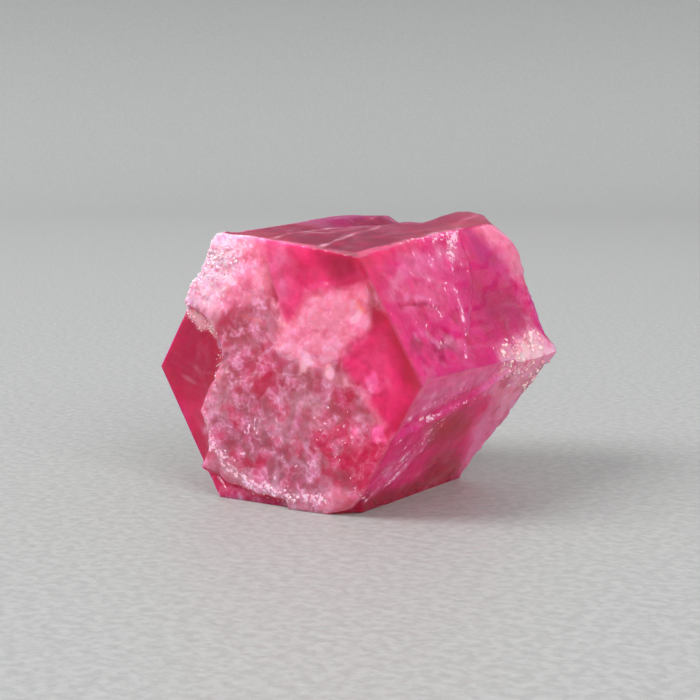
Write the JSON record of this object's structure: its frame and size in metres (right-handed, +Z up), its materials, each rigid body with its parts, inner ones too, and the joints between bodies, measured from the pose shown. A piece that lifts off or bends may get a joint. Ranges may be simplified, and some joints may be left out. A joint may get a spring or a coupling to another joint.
{
  "type": "red beryl crystal",
  "caption": "Loose, stout hexagonal red beryl crystal lying on a prism face, with glassy panes, a sugary crusted near end and an oblique broken far end.",
  "frame": {"origin": "on the ground under the middle of the bounding box", "axes": "+Z up, +Y along the crystal's c-axis from the crusted near end to the broken far end, +X to the right of someone who looks along +Y"},
  "size_m": [0.0082, 0.0084, 0.0074],
  "materials": {
    "beryl": "clear to cloudy crimson-pink crystal, glassy on its panes, frosted and granular on its broken faces"
  },
  "bodies": {
    "root": {"crystal": "beryl"}
  },
  "joints": []
}
